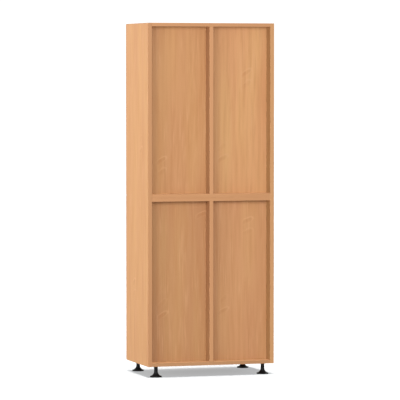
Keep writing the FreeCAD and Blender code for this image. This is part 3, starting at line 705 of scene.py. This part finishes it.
def turned_foot(name, centre):
    """A foot spun from its outline, standing at the centre of its CAD node."""
    shape = bmesh.new()
    outline = [shape.verts.new((radius, 0.0, height)) for radius, height in foot_outline()]
    edges = [shape.edges.new(pair) for pair in zip(outline, outline[1:])]
    bmesh.ops.spin(shape, geom=outline + edges, cent=(0, 0, 0), axis=(0, 0, 1),
                   angle=2 * math.pi, steps=SPIN_STEPS, use_merge=True, use_duplicate=False)
    bmesh.ops.remove_doubles(shape, verts=shape.verts, dist=WELD)
    bmesh.ops.recalc_face_normals(shape, faces=shape.faces)
    bmesh.ops.translate(shape, verts=shape.verts, vec=(centre[0], centre[1], 0.0))
    for face in shape.faces:
        face.smooth = True
    piece = mesh_piece(name, shape)
    piece.data.materials.append(black_plastic)
    piece.data.set_sharp_from_angle(angle=SHARP_EDGE)
    return piece


# The thread's pitch, its depth as a share of that, and how far the core fills the thread
THREAD_PITCH = 1.5 * MM
THREAD_DEPTH_SHARE = 0.5
CORE_FILL = 0.15
CORE_SIDES = 32
RIDGE_STEPS = 24
RIDGE_SIDES = 4


def thread_tree():
    """A spindle on a point: a core with a helical thread ridge, standing upright."""
    tree = new_geometry_tree("threaded_spindle", "Point", ("Radius", "Length", "Pitch"), "Spindle")
    given = add_node(tree, "NodeGroupInput").outputs

    depth = add_node(tree, "ShaderNodeMath", {0: given["Pitch"], 1: THREAD_DEPTH_SHARE},
                     operation="MULTIPLY").outputs[0]
    root = add_node(tree, "ShaderNodeMath", {0: given["Radius"], 1: depth},
                    operation="SUBTRACT").outputs[0]
    core_radius = add_node(tree, "ShaderNodeMath", {0: depth, 1: CORE_FILL, 2: root},
                           operation="MULTIPLY_ADD")
    core = add_node(tree, "GeometryNodeMeshCylinder", {
        "Vertices": CORE_SIDES, "Radius": core_radius.outputs[0], "Depth": given["Length"]})
    half = add_node(tree, "ShaderNodeMath", {0: given["Length"], 1: 0.5}, operation="MULTIPLY")
    lift = add_node(tree, "ShaderNodeCombineXYZ", {2: half.outputs[0]})
    raised_core = add_node(tree, "GeometryNodeTransform", {
        "Geometry": core.outputs[0], "Translation": lift.outputs[0]})

    travel = add_node(tree, "ShaderNodeMath", {0: given["Length"], 1: given["Pitch"]},
                      operation="SUBTRACT").outputs[0]
    turns = add_node(tree, "ShaderNodeMath", {0: travel, 1: given["Pitch"]}, operation="DIVIDE")
    ridge_middle = add_node(tree, "ShaderNodeMath", {0: depth, 1: 0.5, 2: root},
                            operation="MULTIPLY_ADD").outputs[0]
    path = add_node(tree, "GeometryNodeCurveSpiral", {
        "Resolution": RIDGE_STEPS, "Rotations": turns.outputs[0], "Start Radius": ridge_middle,
        "End Radius": ridge_middle, "Height": travel})
    half_depth = add_node(tree, "ShaderNodeMath", {0: depth, 1: 0.5}, operation="MULTIPLY")
    section = add_node(tree, "GeometryNodeCurvePrimitiveCircle", {
        "Resolution": RIDGE_SIDES, "Radius": half_depth.outputs[0]})
    ridge = add_node(tree, "GeometryNodeCurveToMesh", {
        "Curve": path.outputs[0], "Profile Curve": section.outputs[0], "Fill Caps": True})
    start = add_node(tree, "ShaderNodeCombineXYZ", {2: depth})
    raised_ridge = add_node(tree, "GeometryNodeTransform", {
        "Geometry": ridge.outputs[0], "Translation": start.outputs[0]})
    spindle = add_node(tree, "GeometryNodeJoinGeometry", {
        0: [raised_ridge.outputs[0], raised_core.outputs[0]]})
    copies = add_node(tree, "GeometryNodeInstanceOnPoints", {
        "Points": given["Point"], "Instance": spindle.outputs[0]})
    give_result(tree, copies, given["Finish"])
    return tree


spindles = thread_tree()
for end in ("front", "rear"):
    for hand in SIGNS:
        name = f"{end}_{hand}"
        low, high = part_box(f"{name}_foot")
        centre = (low + high) / 2
        foot = turned_foot(f"{name}_moulded_foot", centre)
        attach(foot, f"{name}_foot_set")
        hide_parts(f"{name}_foot")
        spot = (centre.x, centre.y, SOCKET_FLOOR)
        spindle = grow(f"{name}_threaded_spindle", spindles, marked_points([(spot, (0, 0, 1))]), {
            "Radius": SPINDLE_RADIUS, "Length": SPINDLE_TOP - SOCKET_FLOOR, "Pitch": THREAD_PITCH,
            "Finish": zinc})
        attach(spindle, f"{name}_foot_set")
        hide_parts(f"{name}_spindle")


# Studio

WHITE = (1.0, 1.0, 1.0, 1.0)
WALL_STRENGTH = 1.1
AIR_STRENGTH = 0.27
FLOOR_GLOW = 0.4
FLOOR_HALF = 120.0

# Floor: matt white sweep, lit from within a little so that shade below the cupboard stays soft
floor_material, _, floor_shader = new_material("white_studio_floor")
floor_shader.inputs["Base Color"].default_value = linear("#7C7C7C")
floor_shader.inputs["Roughness"].default_value = 0.9
floor_shader.inputs["Specular IOR Level"].default_value = 0.0
floor_shader.inputs["Emission Color"].default_value = linear("#F7FCFF")
floor_shader.inputs["Emission Strength"].default_value = FLOOR_GLOW
floor_shape = bmesh.new()
bmesh.ops.create_grid(floor_shape, x_segments=1, y_segments=1, size=FLOOR_HALF)
floor = mesh_piece("studio_floor", floor_shape)
floor.data.materials.append(floor_material)
# The floor shows white, but throws no light up into the recesses
floor.visible_diffuse = False

world = bpy.data.worlds.new("studio_air")
bpy.context.scene.world = world
world.use_nodes = True
air = world.node_tree
# White walls for the camera and in the sheen of the boards; as a light they are dim
spread = add_node(air, "ShaderNodeLightPath").outputs["Is Diffuse Ray"]
walls = add_node(air, "ShaderNodeBackground", {"Color": WHITE, "Strength": WALL_STRENGTH})
dim = add_node(air, "ShaderNodeBackground", {"Color": WHITE, "Strength": AIR_STRENGTH})
both = add_node(air, "ShaderNodeMixShader", {0: spread, 1: walls.outputs[0], 2: dim.outputs[0]})
air.links.new(both.outputs[0], air.nodes["World Output"].inputs["Surface"])

MIDDLE = Vector((0.0, 0.0, 1.1))
EYE_LEVEL = 1.6
# Each soft box: its bearing from the rear's middle towards +X and its elevation in degrees, its
# distance and size in metres, its power in watts and how often its light is thrown on. The boxes
# that light the rear give direct light only, so that the boards there do not tint each other
SOFT_BOXES = {
    "rear_high_box": (0, 14, 9.0, 2.0, 116, 0),
    "rear_box": (17, 3, 9.0, 2.0, 219, 0),
    "rear_near_box": (38, 3, 9.0, 2.0, 152, 0),
    "near_corner_box": (60, 3, 9.0, 2.0, 129, 0),
    "side_box": (100, 6, 7.0, 2.0, 190, 0),
    "door_box": (180, 18, 8.0, 2.4, 300, 2),
    "door_near_box": (132, 18, 8.0, 2.0, 110, 2),
    "far_side_box": (245, 12, 8.0, 2.5, 320, 1),
}
for name, (bearing, elevation, distance, size, power, bounces) in SOFT_BOXES.items():
    bearing, elevation = math.radians(bearing), math.radians(elevation)
    reach = distance * math.cos(elevation)
    place = Vector((reach * math.sin(bearing), reach * math.cos(bearing),
                    EYE_LEVEL + distance * math.sin(elevation)))
    lamp = bpy.data.lights.new(name, "AREA")
    lamp.size = size
    lamp.energy = power
    lamp.cycles.max_bounces = bounces
    soft_box = put_in_scene(name, lamp)
    soft_box.location = place
    soft_box.rotation_euler = (MIDDLE - place).to_track_quat("-Z", "Y").to_euler()
    # Boxes past the rear half give no highlights: the top would mirror them to a camera behind
    soft_box.visible_glossy = bearing < math.pi / 2


def distant_lamp(name, tilt, strength, width):
    """A far lamp high above, tilted a little towards the rear, that looks so many degrees wide."""
    lamp = bpy.data.lights.new(name, "SUN")
    lamp.energy = strength
    lamp.angle = math.radians(width)
    lamp.cycles.max_bounces = 0
    light = put_in_scene(name, lamp)
    light.rotation_euler = (-math.radians(tilt), 0.0, 0.0)
    return light


# It falls on the tops of the boards, also in the recesses
distant_lamp("high_lamp", tilt=3.6, strength=2.0, width=2)
# Straight overhead on the floor alone, so that it is white and the cupboard stands in its shade
overhead = distant_lamp("overhead", tilt=0.0, strength=10.5, width=16)
floor_alone = bpy.data.collections.new("floor_alone")
floor_alone.objects.link(floor)
overhead.light_linking.receiver_collection = floor_alone

# Camera, from the fit to the photograph's edges
CAMERA_PLACE = (5.2950, 17.1425, 1.8363)
CAMERA_YAW = math.radians(17.189)
CAMERA_PITCH = math.radians(2.477)
CAMERA_LENS = 262.9
SENSOR_WIDTH = 36.0
SIGHT_END = 400.0
lens = bpy.data.cameras.new("photo_camera")
lens.lens = CAMERA_LENS
lens.sensor_width = SENSOR_WIDTH
lens.clip_end = SIGHT_END
camera = put_in_scene("photo_camera", lens)
camera.location = CAMERA_PLACE
gaze = Vector((-math.sin(CAMERA_YAW) * math.cos(CAMERA_PITCH),
               -math.cos(CAMERA_YAW) * math.cos(CAMERA_PITCH), -math.sin(CAMERA_PITCH)))
camera.rotation_euler = gaze.to_track_quat("-Z", "Y").to_euler()
bpy.context.scene.camera = camera
bpy.context.scene.view_settings.view_transform = "Standard"
bpy.context.scene.view_settings.look = "None"
